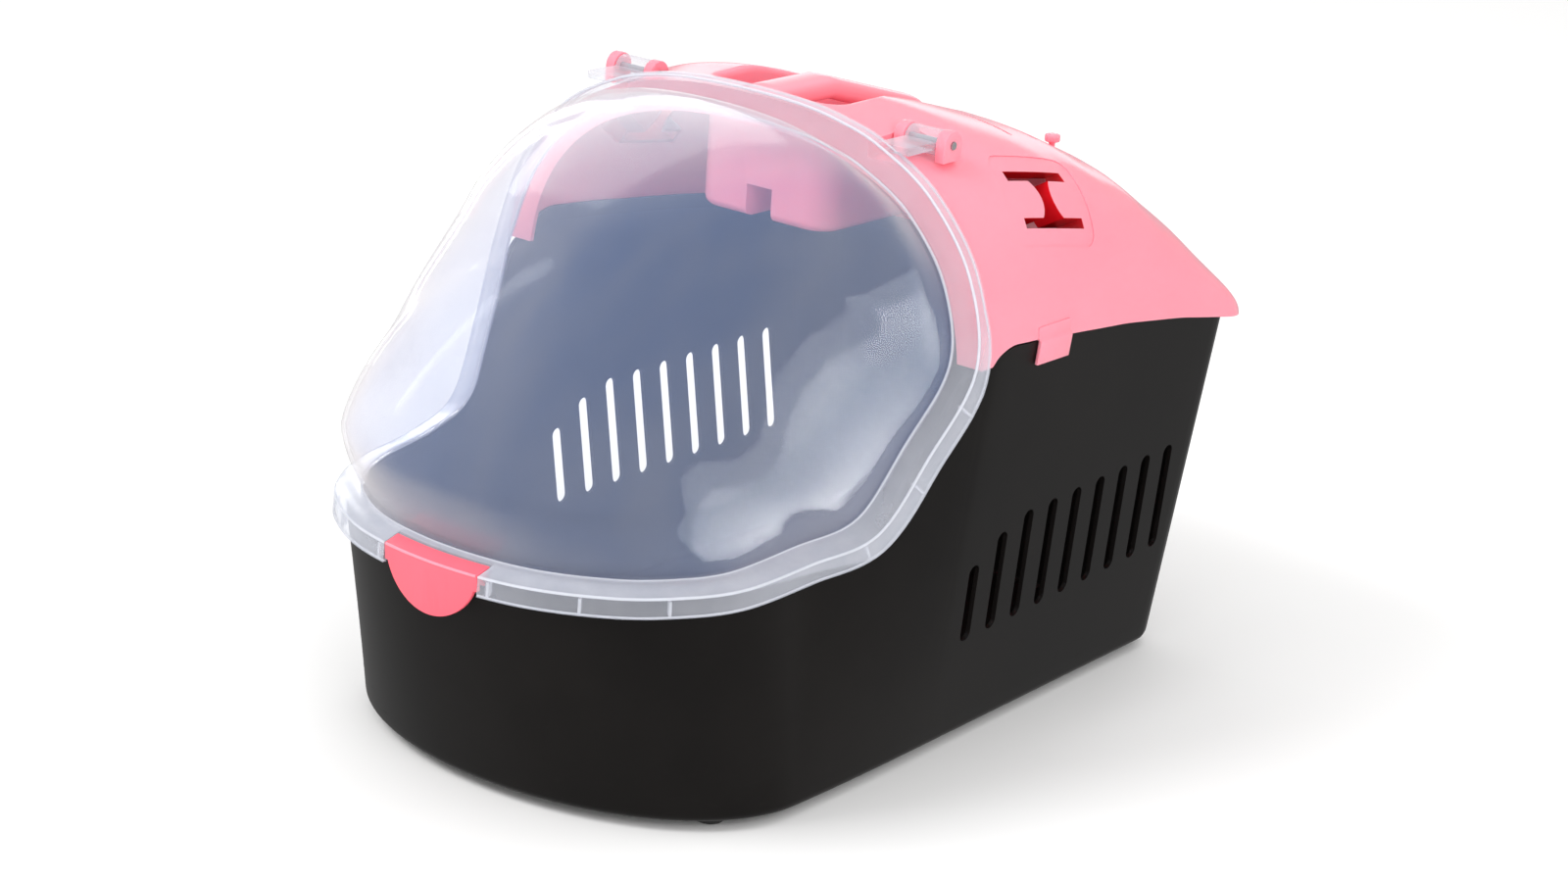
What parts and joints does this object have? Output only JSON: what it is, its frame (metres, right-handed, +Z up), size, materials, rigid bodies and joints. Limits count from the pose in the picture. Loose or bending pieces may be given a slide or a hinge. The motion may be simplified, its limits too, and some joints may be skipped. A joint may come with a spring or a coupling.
{
  "type": "small pet carrier",
  "caption": "Small pet carrier: dark tub with slotted sides, clip-on roof with grip handle, and a clear dome door hinged on top with a latch at the lip.",
  "frame": {"origin": "on the ground under the middle of the carrier's bounding box", "axes": "-Y is the front with the dome door, +Y the rear, +Z up, +X the side on the right of a viewer who faces the front"},
  "size_m": [0.3132, 0.479, 0.3196],
  "materials": {
    "black_plastic": "satin",
    "pink_plastic": "gloss",
    "deep_pink_plastic": "gloss",
    "milky_plastic": "translucent",
    "clear_plastic": "clear",
    "steel": "satin",
    "rubber": "matte"
  },
  "bodies": {
    "carrier": {"base_tub": "black_plastic", "foot_front_left": "rubber", "foot_front_right": "rubber", "foot_rear_left": "rubber", "foot_rear_right": "rubber", "roof_shell": "pink_plastic", "hinge_ear_left": "pink_plastic", "hinge_ear_right": "pink_plastic", "hinge_pin_left": "steel", "hinge_pin_right": "steel", "roof_stud_left": "pink_plastic", "roof_stud_right": "pink_plastic", "carry_handle": "deep_pink_plastic", "handle_screws": "steel"},
    "door": {"door_frame": "milky_plastic", "dome_window": "clear_plastic", "latch_pin": "steel", "latch_spring": "steel"},
    "latch": {"latch_tongue": "deep_pink_plastic"}
  },
  "joints": [
    {"name": "door_hinge", "type": "hinge", "parent": "carrier", "child": "door", "pos_m": [0, 0.002, 0.3065], "axis": [-1, 0, 0], "range_deg": [0, 100]},
    {"name": "latch_hinge", "type": "hinge", "parent": "door", "child": "latch", "pos_m": [0, -0.23, 0.1208], "axis": [-1, 0, 0], "range_deg": [0, 12], "stiffness_Nm_per_rad": 0.05, "springref_deg": -5.73}
  ]
}
